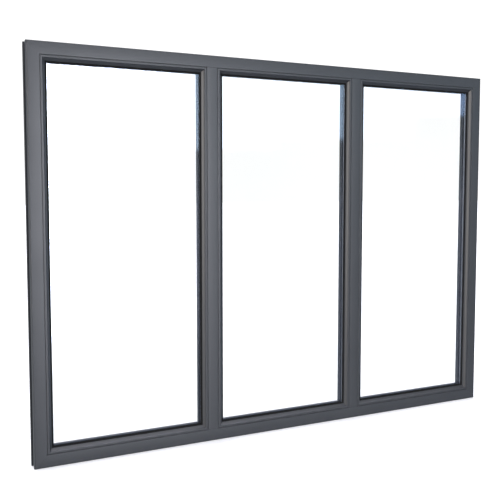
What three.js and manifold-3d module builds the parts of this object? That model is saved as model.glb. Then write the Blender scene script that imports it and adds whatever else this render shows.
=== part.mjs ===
// Fixed window with three side-by-side panes in a thermally broken aluminium frame.
// The frame is four mitred members with two mullions butted between head and sill. Each member is
// a front shell and a back shell of aluminium, keyed together by a plastic thermal break. Each pane
// is a sealed unit of two glasses on a spacer. It stands on setting blocks, rests against a back
// gasket, and is held from the front by a gasket and four clip-on glazing beads.
// Millimetres. X runs along the width, Y from the front (-Y) to the back (+Y), Z up. The origin is
// at the bottom centre of the frame, in the middle of its depth.
import * as THREE from "three";
import { mergeVertices } from "three/addons/utils/BufferGeometryUtils.js";
import Module from "manifold-3d";

const wasm = await Module();
wasm.setup();

// ---- Overall size -------------------------------------------------------------------------------
const WIDTH = 1800;
const HEIGHT = 1300;
const DEPTH = 50;
const MULLION_SPACING = 583; // between the two mullions' centre lines
const FACE = 40; // outer edge to the groove beside a bead
const MULLION_FACE = 39.5; // groove to groove across a mullion

// ---- Fits ---------------------------------------------------------------------------------------
const GROOVE = 1; // open line between a member's face and its bead
const REVEAL = GROOVE / 2;
const MITRE_GAP = 0.15; // each mitred end is set back by this much
const BUTT_GAP = 0.4; // between a mullion's end and the member that it meets
const SEAT = 0.25; // between two pieces that press on each other

// ---- Depths, measured back from the face ----------------------------------------------------------
const SHELL_FRONT_BACK = 15; // the front shell fills 0 to here
const SHELL_BACK_FRONT = 39; // and the back shell from here to DEPTH
const BREAK_INSET = 8; // outer edge to the thermal break, which leaves a channel round the frame
const GLASS = 4;
const CAVITY = 12;
const GLASS_FRONT = 14; // front surface of the sealed unit
const GLASS_BACK = GLASS_FRONT + GLASS + CAVITY + GLASS;

// ---- Heights, measured from the groove towards the middle of the pane ----------------------------
const GLASS_EDGE = 6;
const SIGHT_SPACER = 17;
const SIGHT_BACK = 19.6; // inner edge of the back shell
const SIGHT_GASKET = 23.3; // lip of the front gasket
const SIGHT_BEAD = 16.6; // nose of the bead

// ---- Walls and edges -----------------------------------------------------------------------------
const WALL = 2;
const THICK_WALL = 2.5; // thermal break's walls nearer the pane
const EDGE_ROUND = 3; // outer front edges of the frame
const BACK_ROUND = 1; // outer back edges of the frame
const CHAMBER_ROUND = 1;
const FINE_ROUND = 0.6;
const ARC_STEPS = 6; // for each rounded corner
const OVERRUN = 1; // how far a cutting block runs past the piece that it cuts

// ---- Colours -------------------------------------------------------------------------------------
const FINISHES = {
  paint: { color: "#4b4d52", roughness: 0.45, metalness: 0.3 },
  plastic: { color: "#141416", roughness: 0.7, metalness: 0 },
  gasket: { color: "#101012", roughness: 0.8, metalness: 0 },
  spacer: { color: "#6d7075", roughness: 0.5, metalness: 0.4 },
  block: { color: "#2f5d8c", roughness: 0.6, metalness: 0 },
  cleat: { color: "#b9bcc0", roughness: 0.4, metalness: 0.9 },
  glass: { color: "#eef4f4", roughness: 0.05, metalness: 0, opacity: 0.3, transparent: true },
};

const model = new THREE.Group();

function addPiece(name, finish, geometry, group = model) {
  const piece = new THREE.Mesh(geometry, new THREE.MeshStandardMaterial(FINISHES[finish]));
  piece.name = name;
  group.add(piece);
}

// ---- Outlines ------------------------------------------------------------------------------------

// Draws a closed outline through corners [x, y] or [x, y, radius]; a radius rounds that corner.
function draw(path, corners) {
  const at = (index) => new THREE.Vector2(...corners[(index + corners.length) % corners.length]);
  corners.forEach(([, , radius = 0], index) => {
    const corner = at(index);
    const back = at(index - 1).sub(corner).normalize();
    const ahead = at(index + 1).sub(corner).normalize();
    const half = Math.acos(THREE.MathUtils.clamp(back.dot(ahead), -1, 1)) / 2;
    const reach = radius / Math.tan(half);
    const start = corner.clone().addScaledVector(back, reach);
    if (index) path.lineTo(start.x, start.y);
    else path.moveTo(start.x, start.y);
    if (!radius) return;
    const end = corner.clone().addScaledVector(ahead, reach);
    const middle = back.clone().add(ahead).normalize();
    const centre = corner.clone().addScaledVector(middle, radius / Math.sin(half));
    const from = Math.atan2(start.y - centre.y, start.x - centre.x);
    const to = Math.atan2(end.y - centre.y, end.x - centre.x);
    path.absarc(centre.x, centre.y, radius, from, to, back.cross(ahead) > 0);
  });
  path.closePath();
  return path;
}

function outline(corners, holes = []) {
  const shape = draw(new THREE.Shape(), corners);
  shape.holes = holes.map((hole) => draw(new THREE.Path(), hole));
  return shape;
}

const box = (x0, y0, x1, y1) => [[x0, y0], [x1, y0], [x1, y1], [x0, y1]];

// ---- Sections of the members ----------------------------------------------------------------------
// Sections lie in the plane of x, across the member's face, and y, back from its face. A perimeter
// member starts at its outer edge, x = 0; a mullion is centred on x = 0.

// The dovetail keys that join the thermal break to both shells.
const KEY_NECK = 2.4;
const KEY_FOOT = 3.6;
const KEY_DEPTH = 1.8;
const KEY_PLAY = 0.3;
const KEY_INSET = 4.5; // key's centre line to the side of the member
const KEY_WALL = 4; // wall thickness beside a pocket

// Corners of a key or its pocket, in the order of falling x, on a face at y that it leaves towards out.
function dovetail(centre, y, out, play = 0) {
  const neck = KEY_NECK / 2 + play;
  const foot = KEY_FOOT / 2 + play;
  const end = y + out * (KEY_DEPTH + (play ? 2 * play : SEAT));
  return [[centre + neck, y], [centre + foot, end], [centre - foot, end], [centre - neck, y]];
}

const reversed = (corners) => [...corners].reverse();

// The clip rail for a bead, on the side of a front shell, from the face to the shell's back.
const RAIL = { front: 12, back: 13.5, reach: 5.3, hook: 1.2, tip: 9.4 };

function railSide(x, out) {
  return [
    [x, 0, FINE_ROUND],
    [x, RAIL.front],
    [x + out * (RAIL.reach - RAIL.hook), RAIL.front],
    [x + out * (RAIL.reach - RAIL.hook), RAIL.tip],
    [x + out * RAIL.reach, RAIL.tip],
    [x + out * RAIL.reach, RAIL.back],
    [x, RAIL.back],
    [x, SHELL_FRONT_BACK],
  ];
}

const outerSide = (x) => [[x, 0, EDGE_ROUND], [x, SHELL_FRONT_BACK, FINE_ROUND]];

// A front shell between two sides: a rail or an outer edge on the left, a rail on the right.
function frontShell(left, right, leftSide, keys) {
  const back = SHELL_FRONT_BACK;
  const pockets = reversed(keys).flatMap((key) => dovetail(key, back, -1, KEY_PLAY));
  const [low, high] = [keys[0] + KEY_WALL, keys[1] - KEY_WALL];
  const chamber = [
    [left + WALL, WALL, CHAMBER_ROUND],
    [right - WALL, WALL, CHAMBER_ROUND],
    [right - WALL, back - KEY_WALL],
    [high, back - KEY_WALL],
    [high, back - WALL],
    [low, back - WALL],
    [low, back - KEY_WALL],
    [left + WALL, back - KEY_WALL],
  ];
  return outline([...reversed(leftSide), ...railSide(right, 1), ...pockets], [chamber]);
}

// One flange of a back shell, from its seat behind the thermal break out to the edge of the pane.
const FLANGE_SEAT = 41.5; // depth of the back gasket's seat
const FLANGE_TIP = 36; // front of the flange's thick inner edge
const FLANGE_TIP_WIDTH = 5.6;
const FLANGE_ROUND = 2.5; // front and back of that edge

function flangeSide(x, out) {
  const inner = x + out * SIGHT_BACK;
  return [
    [x, SHELL_BACK_FRONT],
    [x, FLANGE_SEAT],
    [inner - out * FLANGE_TIP_WIDTH, FLANGE_SEAT],
    [inner - out * FLANGE_TIP_WIDTH, FLANGE_TIP],
    [inner, FLANGE_TIP, FLANGE_ROUND],
    [inner, DEPTH, FLANGE_ROUND],
  ];
}

const backSide = (x) => [[x, SHELL_BACK_FRONT, FINE_ROUND], [x, DEPTH, BACK_ROUND]];

// The chamber's outline on one side of a back shell, front to back.
const flangeChamber = (x, out) => [
  [x - out * WALL, SHELL_BACK_FRONT + KEY_WALL],
  [x - out * WALL, FLANGE_SEAT + WALL],
  [x + out * (SIGHT_BACK - WALL), FLANGE_SEAT + WALL],
  [x + out * (SIGHT_BACK - WALL), DEPTH - WALL],
];

const edgeChamber = (x) => [[x + WALL, SHELL_BACK_FRONT + KEY_WALL], [x + WALL, DEPTH - WALL]];

function backShell(leftSide, rightSide, leftChamber, rightChamber, keys) {
  const pockets = keys.flatMap((key) => reversed(dovetail(key, SHELL_BACK_FRONT, 1, KEY_PLAY)));
  const chamber = [...reversed(leftChamber), ...rightChamber];
  return outline([...reversed(leftSide), ...pockets, ...rightSide], [chamber]);
}

function thermalBreak(left, right, keys) {
  const [front, back] = [SHELL_FRONT_BACK + SEAT, SHELL_BACK_FRONT - SEAT];
  const middle = (left + right) / 2;
  const corners = [
    [left, front],
    ...keys.flatMap((key) => reversed(dovetail(key, front, -1))),
    [right, front],
    [right, back],
    ...reversed(keys).flatMap((key) => dovetail(key, back, 1)),
    [left, back],
  ];
  const chambers = [
    box(left + WALL, front + WALL, middle - WALL / 2, back - WALL),
    box(middle + WALL / 2, front + THICK_WALL, right - WALL, back - THICK_WALL),
  ];
  return outline(corners, chambers);
}

// ---- Bars and rings --------------------------------------------------------------------------------

const straightBar = (section, length) =>
  new THREE.ExtrudeGeometry(section, { depth: length, bevelEnabled: false, curveSegments: ARC_STEPS });

// A bar along +Z whose ends are cut to 45 degrees, shorter where x is larger.
function mitredBar(section, length) {
  const bar = straightBar(section, length);
  const position = bar.getAttribute("position");
  for (let i = 0; i < position.count; i++) {
    const cut = position.getX(i) + MITRE_GAP;
    position.setZ(i, position.getZ(i) > length / 2 ? length - cut : cut);
  }
  return bar;
}

// A closed ring round a rectangular opening. Its section's x runs inwards from the opening's edge.
// Four lathe steps turn it into a square ring, whose corners then move out to the opening's corners.
function ring(section, width, height) {
  const size = Math.min(width, height) / 2;
  const points = section.map(([x, y]) => new THREE.Vector2((size - x) * Math.SQRT2, y));
  const geometry = new THREE.LatheGeometry([...points, points[0]], 4, Math.PI / 4);
  const position = geometry.getAttribute("position");
  for (let i = 0; i < position.count; i++) {
    const [x, z] = [position.getX(i), position.getZ(i)];
    position.setX(i, x + Math.sign(x) * (width / 2 - size));
    position.setZ(i, z + Math.sign(z) * (height / 2 - size));
  }
  return geometry;
}

// The four sides of a rectangle, each with its length, its start and its turn about Y. In the turned
// group +X points into the rectangle and +Z along the side.
function sides(left, bottom, width, height) {
  const [right, top] = [left + width, bottom + height];
  return [
    { side: "left", x: left, z: bottom, length: height },
    { side: "top", x: left, z: top, length: width },
    { side: "right", x: right, z: top, length: height },
    { side: "bottom", x: right, z: bottom, length: width },
  ].map((entry, quarter) => ({ ...entry, turn: (quarter * Math.PI) / 2 }));
}

function placeAt(x, z, turn = 0) {
  const group = new THREE.Group();
  group.position.set(x, -DEPTH / 2, z);
  group.rotation.y = turn;
  model.add(group);
  return group;
}

// ---- Cutting -----------------------------------------------------------------------------------------

function toSolid(geometry) {
  const bare = geometry.clone();
  for (const name of Object.keys(bare.attributes)) if (name !== "position") bare.deleteAttribute(name);
  const merged = mergeVertices(bare, 1e-4);
  return new wasm.Manifold(
    new wasm.Mesh({
      numProp: 3,
      vertProperties: merged.getAttribute("position").array,
      triVerts: Uint32Array.from(merged.getIndex().array),
    })
  );
}

function cut(geometry, tools) {
  let solid = toSolid(geometry);
  for (const tool of tools) solid = solid.subtract(toSolid(tool));
  const mesh = solid.getMesh();
  const result = new THREE.BufferGeometry();
  result.setAttribute("position", new THREE.BufferAttribute(mesh.vertProperties, 3));
  result.setIndex(new THREE.BufferAttribute(mesh.triVerts, 1));
  return result;
}

function block(x0, x1, y0, y1, z0, z1) {
  const shape = new THREE.BoxGeometry(x1 - x0, y1 - y0, z1 - z0);
  return shape.translate((x0 + x1) / 2, (y0 + y1) / 2, (z0 + z1) / 2);
}

// ---- Frame -------------------------------------------------------------------------------------------
const MEMBERS = { left: "left_jamb", top: "head", right: "right_jamb", bottom: "sill" };
const MULLIONS = [
  { name: "left_mullion", x: -MULLION_SPACING / 2 },
  { name: "right_mullion", x: MULLION_SPACING / 2 },
];
const FRAME_KEYS = [BREAK_INSET + KEY_INSET, FACE - REVEAL - KEY_INSET];
const INNER = FACE - REVEAL; // outer edge to a front shell's inner side

const frameFront = frontShell(0, INNER, outerSide(0), FRAME_KEYS);
const frameBreak = thermalBreak(BREAK_INSET, INNER, FRAME_KEYS);
const frameBack = backShell(
  backSide(0), flangeSide(FACE, 1), edgeChamber(0), flangeChamber(FACE, 1), FRAME_KEYS
);

// Notches in the head and sill where the mullions stand. Distances along a member are the same from
// either end, because the mullions are symmetric.
const notches = (half, x0, x1, y0, y1) =>
  MULLIONS.map(({ x }) => block(x0, x1, y0, y1, WIDTH / 2 + x - half, WIDTH / 2 + x + half));

// Through the clip rails, for the mullion's front shell and its own rails.
const railNotches = notches(
  MULLION_FACE / 2 - REVEAL + RAIL.reach + KEY_PLAY, INNER, INNER + RAIL.reach + OVERRUN,
  RAIL.tip - OVERRUN, RAIL.back
);

// Across the flanges' thick edges, for the gaskets that run beside the mullion.
const seatNotches = notches(
  MULLION_FACE / 2 + SIGHT_BACK - FLANGE_TIP_WIDTH, FACE, FACE + SIGHT_BACK + OVERRUN,
  FLANGE_TIP - OVERRUN, FLANGE_SEAT
);

// Drain slots through the back of the sill, two below each pane.
const SLOT = { length: 28, height: 5, up: 20, fromBayCentre: 170 };

function drainSlots() {
  const bays = [-1, 0, 1].map((bay) => WIDTH / 2 + bay * (MULLION_SPACING / 2 + WIDTH / 2) / 2);
  const along = bays.flatMap((bay) => [bay - SLOT.fromBayCentre, bay + SLOT.fromBayCentre]);
  return along.map((middle) =>
    block(
      SLOT.up - SLOT.height / 2, SLOT.up + SLOT.height / 2, DEPTH - WALL - OVERRUN,
      DEPTH + OVERRUN,
      middle - SLOT.length / 2, middle + SLOT.length / 2
    )
  );
}

for (const { side, x, z, length, turn } of sides(-WIDTH / 2, 0, WIDTH, HEIGHT)) {
  const group = placeAt(x, z, turn);
  const member = MEMBERS[side];
  const level = side === "top" || side === "bottom";
  const frontCuts = level ? railNotches : [];
  const backCuts = [...(level ? seatNotches : []), ...(side === "bottom" ? drainSlots() : [])];
  addPiece(`${member}_front_shell`, "paint", cut(mitredBar(frameFront, length), frontCuts), group);
  addPiece(`${member}_thermal_break`, "plastic", mitredBar(frameBreak, length), group);
  addPiece(`${member}_back_shell`, "paint", cut(mitredBar(frameBack, length), backCuts), group);
}

// ---- Corner cleats, in the front shells' chambers --------------------------------------------------
// Each has a pin hole in the corner and one in each leg, that far from the frame's outer corner.
const CLEAT = { leg: 95, play: 0.4, bevel: 4, hole: 4, pin: 68, holeSteps: 12 };

function cornerCleat() {
  const near = WALL + CLEAT.play;
  const far = INNER - WALL - CLEAT.play;
  const middle = (near + far) / 2;
  const shape = outline([
    [near, near],
    [CLEAT.leg - CLEAT.bevel, near],
    [CLEAT.leg, near + CLEAT.bevel],
    [CLEAT.leg, far - CLEAT.bevel],
    [CLEAT.leg - CLEAT.bevel, far],
    [far, far],
    [far, CLEAT.leg - CLEAT.bevel],
    [far - CLEAT.bevel, CLEAT.leg],
    [near + CLEAT.bevel, CLEAT.leg],
    [near, CLEAT.leg - CLEAT.bevel],
  ]);
  const pinHoles = [[CLEAT.pin, middle], [middle, CLEAT.pin], [middle, middle]];
  shape.holes = pinHoles.map(([x, y]) => new THREE.Path().absarc(x, y, CLEAT.hole, 0, 2 * Math.PI));
  const depth = SHELL_FRONT_BACK - KEY_WALL - WALL - 2 * CLEAT.play;
  const options = { depth, bevelEnabled: false, curveSegments: CLEAT.holeSteps };
  const cleat = new THREE.ExtrudeGeometry(shape, options);
  return cleat.rotateX(Math.PI / 2).translate(0, near + depth, 0);
}

const CORNERS = ["bottom_left", "top_left", "top_right", "bottom_right"];
sides(-WIDTH / 2, 0, WIDTH, HEIGHT).forEach(({ x, z, turn }, index) => {
  addPiece(`corner_cleat_${CORNERS[index]}`, "cleat", cornerCleat(), placeAt(x, z, turn));
});

// ---- Mullions ------------------------------------------------------------------------------------------
const MULLION_SIDE = MULLION_FACE / 2 - REVEAL;
const MULLION_KEYS = [-(MULLION_SIDE - KEY_INSET), MULLION_SIDE - KEY_INSET];
const SEAM = MULLION_FACE / 2; // centre line to the groove

const mullionFront = frontShell(
  -MULLION_SIDE, MULLION_SIDE, railSide(-MULLION_SIDE, -1), MULLION_KEYS
);
const mullionBreak = thermalBreak(-MULLION_SIDE, MULLION_SIDE, MULLION_KEYS);
const mullionBack = backShell(
  flangeSide(-SEAM, -1), flangeSide(SEAM, 1), flangeChamber(-SEAM, -1), flangeChamber(SEAM, 1),
  MULLION_KEYS
);

// A U-shaped block in each end of the mullion's front chamber, screwed to the head or sill.
const CONNECTOR = { length: 60, play: 0.3, wall: 4 };

function connector() {
  const x = MULLION_SIDE - WALL - CONNECTOR.play;
  const [front, back] = [WALL + CONNECTOR.play, SHELL_FRONT_BACK - KEY_WALL - CONNECTOR.play];
  const [inside, floor] = [x - CONNECTOR.wall, front + CONNECTOR.wall];
  const section = outline([
    [-x, front, CHAMBER_ROUND],
    [x, front, CHAMBER_ROUND],
    [x, back],
    [inside, back],
    [inside, floor],
    [-inside, floor],
    [-inside, back],
    [-x, back],
  ]);
  return straightBar(section, CONNECTOR.length);
}

// The mullion's clip rails stop short of its ends, where the head's and sill's beads pass.
const railEnd = INNER + RAIL.reach + KEY_PLAY;
const railTrims = [-1, 1].flatMap((out) => {
  const [x0, x1] = [out * MULLION_SIDE, out * (MULLION_SIDE + RAIL.reach + OVERRUN)].sort((a, b) => a - b);
  const trim = (z0, z1) => block(x0, x1, RAIL.tip - OVERRUN, RAIL.back, z0, z1);
  return [trim(0, railEnd), trim(HEIGHT - railEnd, HEIGHT)];
});

for (const { name, x } of MULLIONS) {
  const run = (section, start) => straightBar(section, HEIGHT - 2 * start).translate(0, 0, start);
  const group = placeAt(x, 0);
  const end = INNER + BUTT_GAP;
  addPiece(`${name}_front_shell`, "paint", cut(run(mullionFront, end), railTrims), group);
  addPiece(`${name}_thermal_break`, "plastic", run(mullionBreak, FACE + BUTT_GAP), group);
  addPiece(`${name}_back_shell`, "paint", run(mullionBack, FACE + SIGHT_BACK + BUTT_GAP), group);
  addPiece(`${name}_connector_bottom`, "cleat", connector().translate(0, 0, end), group);
  const top = HEIGHT - end - CONNECTOR.length;
  addPiece(`${name}_connector_top`, "cleat", connector().translate(0, 0, top), group);
}

// ---- Glazing ---------------------------------------------------------------------------------------------
// Sections of the glazing are measured from the groove beside the bead, x into the pane.

// A clip-on bead: a flat land beside the groove, a slightly hollow bevel down towards the glass, a back
// flange that presses the gasket, and a leg with a barb that snaps behind the clip rail.
const BEAD = {
  land: 7.5, landRound: 1.2, face: 0.2, nose: 10.2, back: 11, skin: 1.5, flange: 9, barb: 1.2,
};
const BEVEL_HOLLOW = 1.1; // depth of the bevel's hollow at its middle
const BEVEL_STEPS = 8;

// The points between start and end on an arc that bulges to the left of the way there, by sag.
function bowedArc(start, end, sag, steps) {
  const chord = end.clone().sub(start);
  const radius = chord.lengthSq() / (8 * sag) + sag / 2;
  const side = new THREE.Vector2(-chord.y, chord.x).normalize();
  const centre = start.clone().add(end).multiplyScalar(0.5).addScaledVector(side, -(radius - sag));
  const sweep = 2 * Math.asin(chord.length() / (2 * radius));
  return Array.from({ length: steps - 1 }, (_, index) =>
    start.clone().rotateAround(centre, -(sweep * (index + 1)) / steps).toArray()
  );
}

function beadSection() {
  const { land, landRound, face, nose, back, skin, flange, barb } = BEAD;
  const start = new THREE.Vector2(land, face);
  const end = new THREE.Vector2(SIGHT_BEAD, nose);
  const slope = end.clone().sub(start);
  const lean = (skin + BEVEL_HOLLOW) / Math.sin(slope.angle()); // measured along x
  const innerX = (y) => land - lean + ((y - face) * slope.x) / slope.y;
  const leg = REVEAL + skin;
  return outline([
    [REVEAL, face, FINE_ROUND],
    [land, face, landRound],
    ...bowedArc(start, end, BEVEL_HOLLOW, BEVEL_STEPS),
    [SIGHT_BEAD, nose, FINE_ROUND / 2],
    [SIGHT_BEAD, back],
    [flange, back],
    [flange, back - skin],
    [innerX(back - skin), back - skin],
    [innerX(face + skin), face + skin],
    [leg, face + skin],
    [leg, back - 2 * barb],
    [leg + barb, back - barb],
    [leg, back],
    [REVEAL, back],
  ]);
}

// The front gasket: a flat strip behind the bead's flange and a lip that leans on the glass.
const LIP = { tuck: 1, bulge: 0.8, rise: 0.1, edge: 0.5 };

function frontGasketSection() {
  const [front, back] = [BEAD.back + SEAT, GLASS_FRONT - SEAT];
  const strip = BEAD.flange + LIP.tuck;
  return [
    [strip, front],
    [strip, back],
    [SIGHT_GASKET, back],
    [SIGHT_GASKET, back - LIP.edge],
    [SIGHT_BEAD + LIP.bulge, front - LIP.rise],
    [SIGHT_BEAD - LIP.tuck, front],
  ];
}

// The back gasket, in its seat on the flange, lower than the flange's inner edge.
const BACK_GASKET = { inset: 1, taper: 1 };

function backGasketSection() {
  const [front, back] = [GLASS_BACK + SEAT, FLANGE_SEAT - SEAT];
  const foot = GLASS_EDGE + BACK_GASKET.inset;
  const top = SIGHT_BACK - FLANGE_TIP_WIDTH - SEAT;
  return [[foot, front], [foot + BACK_GASKET.taper, back], [top, back], [top, front]];
}

// The spacer with its edge seal, between the two glasses.
const SPACER = { inset: 0.5, chamfer: 1 };

function spacerSection() {
  const [front, back] = [GLASS_FRONT + GLASS + SEAT, GLASS_FRONT + GLASS + CAVITY - SEAT];
  const foot = GLASS_EDGE + SPACER.inset;
  const shoulder = SIGHT_SPACER - SPACER.chamfer;
  return [
    [foot, front],
    [foot, back],
    [shoulder, back],
    [SIGHT_SPACER, back - SPACER.chamfer],
    [SIGHT_SPACER, front + SPACER.chamfer],
    [shoulder, front],
  ];
}

// A sheet of glass with ground edges, upright, with its front surface at the given depth.
const ARRIS = 0.5;

function glassSheet(width, height, depth) {
  const [x, z] = [width / 2 - ARRIS, height / 2 - ARRIS];
  const options = {
    depth: GLASS - 2 * ARRIS, bevelThickness: ARRIS, bevelSize: ARRIS, bevelSegments: 1,
  };
  const sheet = new THREE.ExtrudeGeometry(outline(box(-x, -z, x, z)), options);
  return sheet.rotateX(Math.PI / 2).translate(0, depth + GLASS - ARRIS, 0);
}

// A bridge-shaped setting block that lets water run below the glass.
const BLOCK = { length: 100, channel: 6, channelHeight: 2, rib: 3.5, along: 0.25 };

function settingBlock() {
  const [front, back] = [GLASS_FRONT + SEAT, GLASS_BACK - SEAT];
  const [low, high] = [REVEAL, GLASS_EDGE - SEAT];
  const middle = (front + back) / 2;
  const roof = low + BLOCK.channelHeight;
  const section = outline([
    [low, front],
    [high, front],
    [high, back],
    [low, back],
    [low, middle + BLOCK.rib / 2 + BLOCK.channel],
    [roof, middle + BLOCK.rib / 2 + BLOCK.channel],
    [roof, middle + BLOCK.rib / 2],
    [low, middle + BLOCK.rib / 2],
    [low, middle - BLOCK.rib / 2],
    [roof, middle - BLOCK.rib / 2],
    [roof, middle - BLOCK.rib / 2 - BLOCK.channel],
    [low, middle - BLOCK.rib / 2 - BLOCK.channel],
  ]);
  return straightBar(section, BLOCK.length).translate(0, 0, -BLOCK.length / 2);
}

const edges = [-WIDTH / 2 + FACE, ...MULLIONS.flatMap(({ x }) => [x - SEAM, x + SEAM]), WIDTH / 2 - FACE];
const PANES = ["left_pane", "middle_pane", "right_pane"].map((name, index) => ({
  name, left: edges[2 * index], width: edges[2 * index + 1] - edges[2 * index],
}));
const PANE_HEIGHT = HEIGHT - 2 * FACE;

for (const { name, left, width } of PANES) {
  const paneSides = sides(left, FACE, width, PANE_HEIGHT);
  for (const { side, x, z, length, turn } of paneSides) {
    addPiece(`${name}_bead_${side}`, "paint", mitredBar(beadSection(), length), placeAt(x, z, turn));
  }
  const bottom = paneSides[3];
  ["right", "left"].forEach((side, index) => {
    const along = width * (index ? 1 - BLOCK.along : BLOCK.along);
    const seat = placeAt(bottom.x, bottom.z, bottom.turn);
    addPiece(`${name}_setting_block_${side}`, "block", settingBlock().translate(0, 0, along), seat);
  });
  const centre = placeAt(left + width / 2, HEIGHT / 2);
  const sheet = [width - 2 * GLASS_EDGE, PANE_HEIGHT - 2 * GLASS_EDGE];
  addPiece(`${name}_front_gasket`, "gasket", ring(frontGasketSection(), width, PANE_HEIGHT), centre);
  addPiece(`${name}_front_glass`, "glass", glassSheet(...sheet, GLASS_FRONT), centre);
  addPiece(`${name}_spacer`, "spacer", ring(spacerSection(), width, PANE_HEIGHT), centre);
  addPiece(`${name}_back_glass`, "glass", glassSheet(...sheet, GLASS_BACK - GLASS), centre);
  addPiece(`${name}_back_gasket`, "gasket", ring(backGasketSection(), width, PANE_HEIGHT), centre);
}

export default model;
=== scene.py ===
"""A fixed three-pane window in dark grey powder-coated aluminium, seen in a pale studio.

Metres. X runs along the width, Y from the front (-Y) to the back (+Y), Z up. The CAD frame, beads and
glass stay and get their finishes here. The rubber gaskets and the spacers of the sealed units are
made here in full, in the places that their CAD nodes hold.
"""
import math

import bpy
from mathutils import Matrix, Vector


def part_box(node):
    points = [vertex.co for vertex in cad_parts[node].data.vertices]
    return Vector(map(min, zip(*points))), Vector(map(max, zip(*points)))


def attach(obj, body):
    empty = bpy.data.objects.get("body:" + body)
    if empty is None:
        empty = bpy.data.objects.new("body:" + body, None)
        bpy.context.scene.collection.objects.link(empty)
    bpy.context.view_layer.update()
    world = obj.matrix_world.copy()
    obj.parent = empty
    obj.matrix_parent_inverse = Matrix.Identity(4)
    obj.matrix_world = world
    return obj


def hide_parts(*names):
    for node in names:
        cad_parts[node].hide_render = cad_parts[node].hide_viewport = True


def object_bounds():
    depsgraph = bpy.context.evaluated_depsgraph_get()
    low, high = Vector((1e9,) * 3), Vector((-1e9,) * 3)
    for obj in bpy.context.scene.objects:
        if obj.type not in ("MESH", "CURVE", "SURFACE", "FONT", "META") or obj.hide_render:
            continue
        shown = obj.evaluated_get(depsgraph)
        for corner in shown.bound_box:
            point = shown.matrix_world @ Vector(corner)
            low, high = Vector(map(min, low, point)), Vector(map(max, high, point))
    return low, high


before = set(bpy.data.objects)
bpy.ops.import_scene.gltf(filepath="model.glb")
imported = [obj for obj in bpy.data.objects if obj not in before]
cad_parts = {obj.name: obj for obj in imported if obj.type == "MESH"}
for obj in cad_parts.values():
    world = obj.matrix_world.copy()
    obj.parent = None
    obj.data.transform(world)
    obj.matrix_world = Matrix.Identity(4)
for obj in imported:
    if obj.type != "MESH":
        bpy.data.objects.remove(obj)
cad_low, cad_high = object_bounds()

MM = 0.001
MEMBERS = ("left_jamb", "head", "right_jamb", "sill", "left_mullion", "right_mullion")
PANES = ("left_pane", "middle_pane", "right_pane")
SIDES = ("left", "top", "right", "bottom")

# ---- Camera ---------------------------------------------------------------------------------------
# It stands left of the window's middle, a little above half height, and looks right and slightly down.
SENSOR = 36  # millimetres
LENS = 57.52
CAMERA_LEFT = 1.452
CAMERA_AHEAD = 2.4195  # in front of the frame's face
CAMERA_HEIGHT = 0.8626
CAMERA_TURN = 28.284  # degrees to the right
CAMERA_DROP = 4.434  # degrees below level


def add_camera():
    data = bpy.data.cameras.new("camera")
    data.sensor_width = SENSOR
    data.lens = LENS
    camera = bpy.data.objects.new("camera", data)
    bpy.context.scene.collection.objects.link(camera)
    middle = (cad_low.x + cad_high.x) / 2
    camera.location = (middle - CAMERA_LEFT, cad_low.y - CAMERA_AHEAD, cad_low.z + CAMERA_HEIGHT)
    camera.rotation_euler = (math.radians(90 - CAMERA_DROP), 0, -math.radians(CAMERA_TURN))
    bpy.context.scene.camera = camera


# ---- Nodes ----------------------------------------------------------------------------------------


class Tree:
    """A short way to add nodes to a node tree. An input is a value or another node's output."""

    def __init__(self, tree):
        self.tree = tree

    def add(self, kind, inputs=None, **settings):
        node = self.tree.nodes.new(kind)
        for key, value in settings.items():
            setattr(node, key, value)
        for socket, value in (inputs or {}).items():
            self.put(node.inputs[socket], value)
        return node

    def put(self, socket, value):
        if isinstance(value, bpy.types.NodeSocket):
            self.tree.links.new(value, socket)
        else:
            socket.default_value = value

    def math(self, operation, *values):
        node = self.add("ShaderNodeMath", operation=operation)
        for socket, value in zip(node.inputs, values):
            self.put(socket, value)
        return node.outputs[0]

    def fit(self, value, low, high, to_low=0.0, to_high=1.0, kind="LINEAR"):
        """value from low..high spread over to_low..to_high."""
        inputs = {"From Min": low, "From Max": high, "To Min": to_low, "To Max": to_high, "Value": value}
        return self.add("ShaderNodeMapRange", inputs, interpolation_type=kind).outputs[0]

    def noise(self, where, scale, detail=2.0, roughness=0.5):
        inputs = {"Vector": where, "Scale": scale, "Detail": detail, "Roughness": roughness}
        return self.add("ShaderNodeTexNoise", inputs).outputs["Fac"]

    def blend(self, factor, first, second):
        node = self.add("ShaderNodeMix", data_type="RGBA")
        self.put(node.inputs[0], factor)
        self.put(node.inputs[6], first)
        self.put(node.inputs[7], second)
        return node.outputs[2]


def grey(value, tint=(1.0, 1.0, 1.0)):
    return tuple(value * share for share in tint) + (1.0,)


# ---- Studio ---------------------------------------------------------------------------------------
BACKDROP = 1.19
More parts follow.
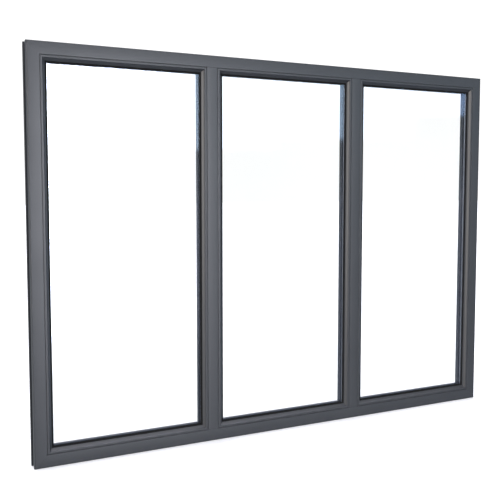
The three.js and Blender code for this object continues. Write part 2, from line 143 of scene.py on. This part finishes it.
# Patches of the studio's dome. Each lies between two azimuths ("turn", from -Y towards +X, or None for
# all round) and two elevations ("rise"). The edges fade over so many degrees, and the light is added to
# the dome's own. The flag is a black card: it takes light away.
SOFTBOXES = {
    "key": {"turn": (10, 21.5), "rise": (-10.5, 10), "fade": (8, 6), "light": (14.1, 14.2, 15.5)},
    "warm_side": {"turn": (-78, -40), "rise": (-6.5, 16), "fade": (28, 6), "light": (8.15, 7.6, 7.2)},
    "blue_near": {"turn": (18, 30), "rise": (2.75, 8.7), "fade": (1, 0.3), "light": (2.1, 2.7, 3.2)},
    "blue_middle": {"turn": (30, 39.5), "rise": (3.45, 8.7), "fade": (1, 0.5), "light": (2.2, 2.9, 3.5)},
    "blue_far": {"turn": (39.5, 52), "rise": (4.93, 8.7), "fade": (1, 0.3), "light": (1.3, 1.9, 2.8)},
    "low_right": {"turn": (31, 52), "rise": (-19, 3.5), "fade": (4, 3), "light": (0.17, 0.17, 0.19)},
    "overhead": {"turn": None, "rise": (56, 120), "fade": (1, 15), "light": (2.56, 2.44, 2.63)},
    "front_high": {"turn": (-40, 46), "rise": (34, 56), "fade": (20, 10), "light": (1.6, 1.55, 1.65)},
    "under": {"turn": None, "rise": (-120, -55), "fade": (1, 15), "light": (0.3, 0.28, 0.25)},
    "far_side": {"turn": (76, 98), "rise": (-18, 24), "fade": (8, 10), "light": (1.1, 1.15, 1.25)},
    "far_back": {"turn": (110, 126), "rise": (-5, 5), "fade": (8, 6), "light": (0.35, 0.35, 0.35)},
    "back_left": {"turn": (-190, -125), "rise": (30, 62), "fade": (10, 10), "light": (2.6, 2.7, 2.9)},
    "back_right": {"turn": (125, 190), "rise": (30, 62), "fade": (10, 10), "light": (2.6, 2.7, 2.9)},
    "dark_flag": {"turn": (-164, -150), "rise": (-9, 2), "fade": (5, 5), "light": (-0.2, -0.2, -0.22)},
}
# The plain dome in front (-Y) and behind (+Y) of the window, below and above level.
DOME = {
    "front": {"below": (0.184, 0.221, 0.281), "above": (0.066, 0.112, 0.112)},
    "behind": {"below": (0.393, 0.434, 0.499), "above": (0.324, 0.359, 0.418)},
}
DOME_FADE = 4  # degrees
FLOOR_HALF = 40  # half of the floor's width
FLOOR_GAP = 0.5 * MM  # from the floor up to the sill


def band(t, value, low, high, fade):
    """1 where value lies between low and high, with edges that fade over that width."""
    rising = t.fit(value, low - fade / 2, low + fade / 2, kind="SMOOTHSTEP")
    falling = t.fit(value, high + fade / 2, high - fade / 2, kind="SMOOTHSTEP")
    return t.math("MULTIPLY", rising, falling)


def dome_light(t):
    """The colour of the studio's light from each direction."""
    way = t.add("ShaderNodeTexCoord").outputs["Generated"]
    x, y, z = t.add("ShaderNodeSeparateXYZ", {"Vector": way}).outputs
    turn = t.math("DEGREES", t.math("ARCTAN2", x, t.math("MULTIPLY", y, -1.0)))
    rise = t.math("DEGREES", t.math("ARCSINE", z))
    above = band(t, rise, 0, 120, DOME_FADE)
    front, behind = (t.blend(above, DOME[side]["below"] + (1,), DOME[side]["above"] + (1,)) for side in DOME)
    light = t.blend(band(t, turn, -90, 90, DOME_FADE), behind, front)
    for softbox in SOFTBOXES.values():
        share = band(t, rise, *softbox["rise"], softbox["fade"][1])
        if softbox["turn"]:
            share = t.math("MULTIPLY", share, band(t, turn, *softbox["turn"], softbox["fade"][0]))
        added = t.add("ShaderNodeVectorMath", operation="MULTIPLY_ADD")
        for socket, value in zip(added.inputs, (share, softbox["light"], light)):
            t.put(socket, value)
        light = added.outputs[0]
    return light


def add_world():
    """The dome lights the window, and the camera sees a white backdrop in its place."""
    world = bpy.data.worlds.new("studio")
    bpy.context.scene.world = world
    world.use_nodes = True
    world.node_tree.nodes.clear()
    t = Tree(world.node_tree)
    lighting = t.add("ShaderNodeBackground", {"Color": dome_light(t), "Strength": 1.0})
    backdrop = t.add("ShaderNodeBackground", {"Color": grey(BACKDROP), "Strength": 1.0})
    seen = t.add("ShaderNodeLightPath").outputs["Is Camera Ray"]
    shown = t.add("ShaderNodeMixShader", {0: seen, 1: lighting.outputs[0], 2: backdrop.outputs[0]})
    t.add("ShaderNodeOutputWorld", {"Surface": shown.outputs[0]})


def add_floor():
    """A wide pale floor. It takes soft shadows but sends no light back up, as a matt studio floor far
    wider than the window would."""
    mesh = bpy.data.meshes.new("floor")
    level = cad_low.z - FLOOR_GAP
    corners = [(-1, -1), (1, -1), (1, 1), (-1, 1)]
    mesh.from_pydata([(x * FLOOR_HALF, y * FLOOR_HALF, level) for x, y in corners], [], [(0, 1, 2, 3)])
    floor = bpy.data.objects.new("floor", mesh)
    bpy.context.scene.collection.objects.link(floor)
    material, t = new_material("floor_pale")
    shade = t.add("ShaderNodeBsdfPrincipled", {
        "Base Color": grey(0.9), "Roughness": 0.8, "Emission Color": grey(1), "Emission Strength": 0.2,
    })
    t.add("ShaderNodeOutputMaterial", {"Surface": shade.outputs[0]})
    mesh.materials.append(material)
    floor.visible_diffuse = False
    floor.visible_glossy = False
    floor.visible_shadow = False


# ---- Materials ------------------------------------------------------------------------------------
ANTHRACITE = (0.045, (0.95, 1.0, 1.1))  # a grey and its tint
SATIN = 0.36  # the powder coat's roughness
# How fine each pattern is, in noise cells per metre. Lines are given along, across and out.
PAINT_PEEL = 420
PAINT_GRAIN = 2600
PAINT_DRIFT = 6
RUBBER_LINES = (6, 2500, 1)
RUBBER_BLOOM = 35
PLASTIC_FIBRES = 1800
PLASTIC_GRAIN = 900
METAL_CLOUD = 60
CAST_LINES = (300, 300, 300)
ROLLED_LINES = (12, 3500, 1)
GLASS_WAVE = 3.5
GLASS_FILM = 28
# How deep each surface's relief is.
PAINT_RELIEF = 0.03 * MM
RUBBER_RELIEF = 0.04 * MM
PLASTIC_RELIEF = 0.04 * MM
METAL_RELIEF = 0.03 * MM
GLASS_RELIEF = 0.2 * MM
GLASS_MIRROR = 0.047  # the share that a sheet of glass reflects straight on
GLASS_TINT = (0.997, 0.999, 0.998, 1.0)
MIRROR_TINT = (0.8, 0.86, 1.0)
HOLE_STEP = 4 * MM  # between the drying holes along a spacer
HOLE_RADIUS = 0.45 * MM
HOLE_ROWS = (2.6 * MM, 8.9 * MM)  # behind the spacer's front
SPACER_TINT = (0.95, 1.0, 1.12)


def new_material(name):
    material = bpy.data.materials.new(name)
    material.use_nodes = True
    material.node_tree.nodes.clear()
    return material, Tree(material.node_tree)


def place(t):
    return t.add("ShaderNodeTexCoord").outputs["Object"]


def bump(t, height, distance, strength=1.0):
    inputs = {"Height": height, "Distance": distance, "Strength": strength}
    return t.add("ShaderNodeBump", inputs).outputs["Normal"]


def powder_coat(name, colour, roughness):
    """Satin powder coat: a fine orange peel, a finer grain, and slight changes of tone and gloss."""
    material, t = new_material(name)
    where = place(t)
    peel = t.noise(where, PAINT_PEEL, 2)
    grain = t.noise(where, PAINT_GRAIN, 2)
    drift = t.noise(where, PAINT_DRIFT, 3)
    tone = t.fit(t.math("ADD", drift, t.math("MULTIPLY", grain, 0.35)), 0.35, 1.0)
    paint = t.blend(tone, grey(0.93 * colour[0], colour[1]), grey(1.07 * colour[0], colour[1]))
    gloss = t.fit(t.math("ADD", drift, peel), 0.7, 1.3, roughness - 0.03, roughness + 0.03)
    surface = t.math("ADD", peel, t.math("MULTIPLY", grain, 0.25))
    shader = t.add("ShaderNodeBsdfPrincipled", {
        "Base Color": paint, "Roughness": gloss, "IOR": 1.5, "Normal": bump(t, surface, PAINT_RELIEF, 0.5),
    })
    t.add("ShaderNodeOutputMaterial", {"Surface": shader.outputs[0]})
    return material


def rubber(name):
    """Black extruded rubber with fine lines along its length and a slight bloom."""
    material, t = new_material(name)
    along = t.add("ShaderNodeMapping", {"Vector": t.add("ShaderNodeTexCoord").outputs["UV"],
                                        "Scale": RUBBER_LINES}).outputs[0]
    lines = t.noise(along, 1, 2)
    bloom = t.noise(place(t), RUBBER_BLOOM, 4, 0.6)
    black = t.blend(bloom, grey(0.004), grey(0.01))
    dull = t.fit(t.math("ADD", lines, bloom), 0.6, 1.4, 0.5, 0.7)
    shader = t.add("ShaderNodeBsdfPrincipled", {
        "Base Color": black, "Roughness": dull, "IOR": 1.5, "Specular IOR Level": 0.15,
        "Normal": bump(t, lines, RUBBER_RELIEF, 0.6),
    })
    t.add("ShaderNodeOutputMaterial", {"Surface": shader.outputs[0]})
    return material


def plastic(name, colour, roughness, fleck):
    """Glass-filled plastic: short pale flecks in a matt body."""
    material, t = new_material(name)
    where = place(t)
    fibres = t.fit(t.noise(where, PLASTIC_FIBRES, 3, 0.7), 0.58, 0.72)
    body = t.blend(fibres, grey(*colour), grey(fleck, colour[1]))
    grain = t.noise(where, PLASTIC_GRAIN, 3)
    dull = t.fit(grain, 0.3, 0.7, roughness - 0.06, roughness + 0.06)
    shader = t.add("ShaderNodeBsdfPrincipled", {
        "Base Color": body, "Roughness": dull, "IOR": 1.53, "Normal": bump(t, grain, PLASTIC_RELIEF, 0.4),
    })
    t.add("ShaderNodeOutputMaterial", {"Surface": shader.outputs[0]})
    return material


def bare_metal(name, colour, roughness, drawn):
    """Aluminium with fine lines, drawn many times longer along one axis than across."""
    material, t = new_material(name)
    stretched = t.add("ShaderNodeMapping", {"Vector": place(t), "Scale": drawn}).outputs[0]
    lines = t.noise(stretched, 1, 3)
    cloud = t.noise(place(t), METAL_CLOUD, 3)
    metal = t.blend(cloud, grey(0.88 * colour), grey(1.1 * colour))
    gloss = t.fit(t.math("ADD", lines, cloud), 0.6, 1.4, roughness - 0.08, roughness + 0.08)
    shader = t.add("ShaderNodeBsdfPrincipled", {
        "Base Color": metal, "Metallic": 1.0, "Roughness": gloss, "Normal": bump(t, lines, METAL_RELIEF, 0.4),
    })
    t.add("ShaderNodeOutputMaterial", {"Surface": shader.outputs[0]})
    return material


def perforated_metal(name, front):
    """Satin anodised aluminium, rolled along its length, with two rows of tiny holes down its face, painted
    as near-black dots: painted shade inside holes that the mesh doesn't have.
    """
    material, t = new_material(name)
    unrolled = t.add("ShaderNodeTexCoord").outputs["UV"]
    along = t.add("ShaderNodeSeparateXYZ", {"Vector": unrolled}).outputs["X"]
    depth = t.add("ShaderNodeSeparateXYZ", {"Vector": place(t)}).outputs["Y"]
    rolled = t.add("ShaderNodeMapping", {"Vector": unrolled, "Scale": ROLLED_LINES}).outputs[0]
    lines = t.noise(rolled, 1, 3)
    step = t.math("ABSOLUTE", t.math("WRAP", along, HOLE_STEP / 2, -HOLE_STEP / 2))
    holes = 0.0
    for row in HOLE_ROWS:
        aside = t.math("ABSOLUTE", t.math("SUBTRACT", depth, front + row))
        away = t.math("SQRT", t.math("ADD", t.math("POWER", step, 2.0), t.math("POWER", aside, 2.0)))
        holes = t.math("MAXIMUM", holes, t.fit(away, HOLE_RADIUS, 0.7 * HOLE_RADIUS))
    metal = t.blend(lines, grey(0.18, SPACER_TINT), grey(0.25, SPACER_TINT))
    # Painted shade: each hole is a near-black dot in the colour, standing in for the shade inside a hole that
    # the flat mesh doesn't have.
    shown = t.blend(holes, metal, grey(0.01))
    gloss = t.fit(t.math("ADD", lines, holes), 0.3, 1.0, 0.34, 0.5)
    shader = t.add("ShaderNodeBsdfPrincipled", {
        "Base Color": shown, "Metallic": 0.85, "Roughness": gloss,
        "Normal": bump(t, lines, METAL_RELIEF, 0.4),
    })
    t.add("ShaderNodeOutputMaterial", {"Surface": shader.outputs[0]})
    return material


def clear_glass(name):
    """Thin coated glass that doesn't shift what is behind it, with a faint wave in its bluish mirror."""
    material, t = new_material(name)
    where = place(t)
    wave = t.noise(where, GLASS_WAVE, 2)
    film = t.fit(t.noise(where, GLASS_FILM, 4, 0.6), 0.35, 0.75, 0.015, 0.05)
    mirror = t.add("ShaderNodeBsdfGlossy", {
        "Color": grey(1.0, MIRROR_TINT), "Roughness": film, "Normal": bump(t, wave, GLASS_RELIEF, 0.05),
    })
    clear = t.add("ShaderNodeBsdfTransparent", {"Color": GLASS_TINT})
    facing = t.add("ShaderNodeLayerWeight", {"Blend": 0.5}).outputs["Facing"]
    share = t.math("MULTIPLY_ADD", t.math("POWER", facing, 5.0), 1 - GLASS_MIRROR, GLASS_MIRROR)
    sheet = t.add("ShaderNodeMixShader", {0: share, 1: clear.outputs[0], 2: mirror.outputs[0]})
    t.add("ShaderNodeOutputMaterial", {"Surface": sheet.outputs[0]})
    return material


# ---- CAD nodes ------------------------------------------------------------------------------------
WELD = 0.005 * MM  # corners closer than this are one corner
SMOOTH_UP_TO = 28  # degrees between faces that still shade as one surface
FLAT_UP_TO = 0.5  # degrees between faces that are joined into one face
ROUNDED_FROM = 35  # degrees between faces that get a rounded edge
FRAME_EDGE = 0.15 * MM
PART_EDGE = 0.2 * MM


def cleaned_group():
    """Joins the CAD mesh's loose triangles and shades it smooth across shallow angles."""
    group = bpy.data.node_groups.new("cleaned", "GeometryNodeTree")
    group.interface.new_socket("Geometry", in_out="INPUT", socket_type="NodeSocketGeometry")
    group.interface.new_socket("Geometry", in_out="OUTPUT", socket_type="NodeSocketGeometry")
    t = Tree(group)
    start = t.add("NodeGroupInput").outputs[0]
    bare = t.add("GeometryNodeRemoveAttribute", {"Geometry": start, "Name": "custom_normal"}).outputs[0]
    joined = t.add("GeometryNodeMergeByDistance", {"Geometry": bare, "Distance": WELD}).outputs[0]
    smooth = t.add("GeometryNodeSetShadeSmooth", {"Geometry": joined}, domain="FACE").outputs[0]
    angle = t.add("GeometryNodeInputMeshEdgeAngle").outputs["Unsigned Angle"]
    sharp = t.add("FunctionNodeCompare", data_type="FLOAT", operation="GREATER_THAN")
    t.put(sharp.inputs[0], angle)
    t.put(sharp.inputs[1], math.radians(SMOOTH_UP_TO))
    creased = t.add("GeometryNodeSetShadeSmooth", {
        "Geometry": smooth, "Selection": sharp.outputs[0], "Shade Smooth": False,
    }, domain="EDGE")
    t.add("NodeGroupOutput", {0: creased.outputs[0]})
    return group


def dress(name, material, edge=0.0):
    """Gives a CAD node its material, a tidy mesh and, with an edge width, small rounded edges."""
    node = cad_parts[name]
    for slot in node.material_slots:
        slot.material = material
    tidy = node.modifiers.new("cleaned", "NODES")
    tidy.node_group = cleaned
    if edge:
        flat = node.modifiers.new("flat", "DECIMATE")
        flat.decimate_type = "DISSOLVE"
        flat.angle_limit = math.radians(FLAT_UP_TO)
        rounded = node.modifiers.new("rounded", "BEVEL")
        rounded.limit_method = "ANGLE"
        rounded.angle_limit = math.radians(ROUNDED_FROM)
        rounded.width = edge
        rounded.segments = 2
        rounded.harden_normals = True


# ---- Rings round a pane ---------------------------------------------------------------------------
ARC_STEPS = 4  # in each rounded corner of a section
RING_SHARP = 30  # degrees between faces that show an edge


def rounded(corners):
    """A closed outline through corners (x, y) or (x, y, radius), with each radius as an arc."""
    points = []
    count = len(corners)
    for index, corner in enumerate(corners):
        here = Vector(corner[:2])
        radius = corner[2] if len(corner) > 2 else 0
        if not radius:
            points.append(here)
            continue
        back = (Vector(corners[index - 1][:2]) - here).normalized()
        ahead = (Vector(corners[(index + 1) % count][:2]) - here).normalized()
        half = back.angle(ahead) / 2
        centre = here + (back + ahead).normalized() * (radius / math.sin(half))
        start = here + back * (radius / math.tan(half)) - centre
        end = here + ahead * (radius / math.tan(half)) - centre
        sweep = start.angle_signed(end)
        for step in range(ARC_STEPS + 1):
            turn = -sweep * step / ARC_STEPS
            c, s = math.cos(turn), math.sin(turn)
            points.append(centre + Vector((start.x * c - start.y * s, start.x * s + start.y * c)))
    return points


def add_ring(name, section, low, high, material):
    """A mitred ring of that section. The section's x runs inwards from the rectangle low..high and its
    y runs back from low.y, both in millimetres."""
    corners = [(low.x, low.z, 1, 1), (low.x, high.z, 1, -1), (high.x, high.z, -1, -1), (high.x, low.z, -1, 1)]
    count = len(section)
    verts = [
        (x + sx * p.x * MM, low.y + p.y * MM, z + sz * p.x * MM) for x, z, sx, sz in corners for p in section
    ]
    faces, uvs = [], []
    around = [0.0]
    for index in range(count):
        around.append(around[-1] + (section[(index + 1) % count] - section[index]).length * MM)
    spans = [high.z - low.z, high.x - low.x] * 2
    for side, span in enumerate(spans):
        for index in range(count):
            a, b = side * count + index, side * count + (index + 1) % count
            c, d = (b + count) % (4 * count), (a + count) % (4 * count)
            faces.append((a, b, c, d))
            start, end = around[index], around[index + 1]
            uvs += [(0, start), (0, end), (span, end), (span, start)]
    mesh = bpy.data.meshes.new(name)
    mesh.from_pydata(verts, [], faces)
    layer = mesh.uv_layers.new(name="UVMap")
    for corner, uv in zip(layer.data, uvs):
        corner.uv = uv
    mesh.materials.append(material)
    for face in mesh.polygons:
        face.use_smooth = True
    mesh.set_sharp_from_angle(angle=math.radians(RING_SHARP))
    mesh.validate()
    piece = bpy.data.objects.new(name, mesh)
    bpy.context.scene.collection.objects.link(piece)
    return piece


# Sections of the seals: how far in from the outer edge of their CAD ring and how far back from its
# front, in millimetres, with the radius of each rounded corner.
FRONT_GASKET = [
    (0, 0.1), (0, 2.6), (13.2, 2.6, 0.1), (13.2, 2.2, 0.15), (11.5, 1.6, 0.2), (10.9, 0.8, 0.3),
    (8.6, 0, 0.4), (7.2, 0.35, 0.2), (5.6, 0.35), (5.2, 0.1),
]
BACK_GASKET = [
    (0.2, 0), (1.2, 6.9), (3.1, 6.9), (3.5, 6.3, 0.2), (4.0, 6.3, 0.2), (4.4, 6.9), (6.6, 6.9, 0.3),
    (6.7, 3.6, 0.6), (6.1, 2.4, 0.4), (6.6, 0.05, 0.2), (4.3, 0.05), (3.8, 0.8, 0.3), (3.2, 0.05),
]
SPACER_BAR = [
    (4.2, 2.5), (4.2, 9.0), (6.4, 11.5, 0.4), (9.6, 11.5, 0.4), (10.5, 10.6, 0.4), (10.5, 7.3, 0.1),
    (10.2, 6.9, 0.1), (10.2, 4.6, 0.1), (10.5, 4.2, 0.1), (10.5, 0.9, 0.4), (9.6, 0, 0.4), (6.4, 0, 0.4),
]
EDGE_SEAL = [(0, 0.1), (0, 11.4), (5.9, 11.4), (4.0, 9.1), (4.0, 2.4), (5.9, 0.1)]


def add_seals(pane):
    """The gaskets and the edge of one pane's sealed unit, in place of the plain rings of the CAD."""
    seals = [
        ("front_gasket", "front_gasket_lip", FRONT_GASKET, gasket_rubber, "gasket"),
        ("back_gasket", "back_gasket_bulb", BACK_GASKET, gasket_rubber, "gasket"),
        ("spacer", "spacer_bar", SPACER_BAR, spacer_metal, "spacer"),
        ("spacer", "edge_seal", EDGE_SEAL, sealant, "gasket"),
    ]
    for node, name, section, material, slot in seals:
        low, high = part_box(f"{pane}_{node}")
        piece = add_ring(f"{pane}_{name}", rounded(section), low, high, material)
        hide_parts(f"{pane}_{node}")
        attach(piece, "root")


# ---- Build ----------------------------------------------------------------------------------------
bpy.context.scene.view_settings.view_transform = "Standard"
add_camera()
add_world()
add_floor()

frame_paint = powder_coat("powder_coat_frame", ANTHRACITE, SATIN)
bead_paint = powder_coat("powder_coat_bead", ANTHRACITE, SATIN)
polyamide = plastic("polyamide_black", (0.012, (1, 1, 1)), 0.6, 0.05)
gasket_rubber = rubber("rubber_black")
block_plastic = plastic("block_plastic", (0.09, (0.3, 0.8, 1.9)), 0.5, 0.2)
cast_metal = bare_metal("cast_aluminium", 0.6, 0.42, CAST_LINES)
spacer_metal = perforated_metal("spacer_aluminium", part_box("left_pane_spacer")[0].y)
sealant = rubber("edge_sealant")
glass = clear_glass("window_glass")

cleaned = cleaned_group()
for member in MEMBERS:
    dress(f"{member}_front_shell", frame_paint, FRAME_EDGE)
    dress(f"{member}_back_shell", frame_paint, FRAME_EDGE)
    dress(f"{member}_thermal_break", polyamide)
for corner in ("bottom_left", "top_left", "top_right", "bottom_right"):
    dress(f"corner_cleat_{corner}", cast_metal, PART_EDGE)
for side in ("left", "right"):
    for end in ("bottom", "top"):
        dress(f"{side}_mullion_connector_{end}", cast_metal, PART_EDGE)
for pane in PANES:
    for side in SIDES:
        dress(f"{pane}_bead_{side}", bead_paint, PART_EDGE)
    for side in ("left", "right"):
        dress(f"{pane}_setting_block_{side}", block_plastic, PART_EDGE)
    for node in ("front_glass", "back_glass"):
        dress(f"{pane}_{node}", glass)
    add_seals(pane)
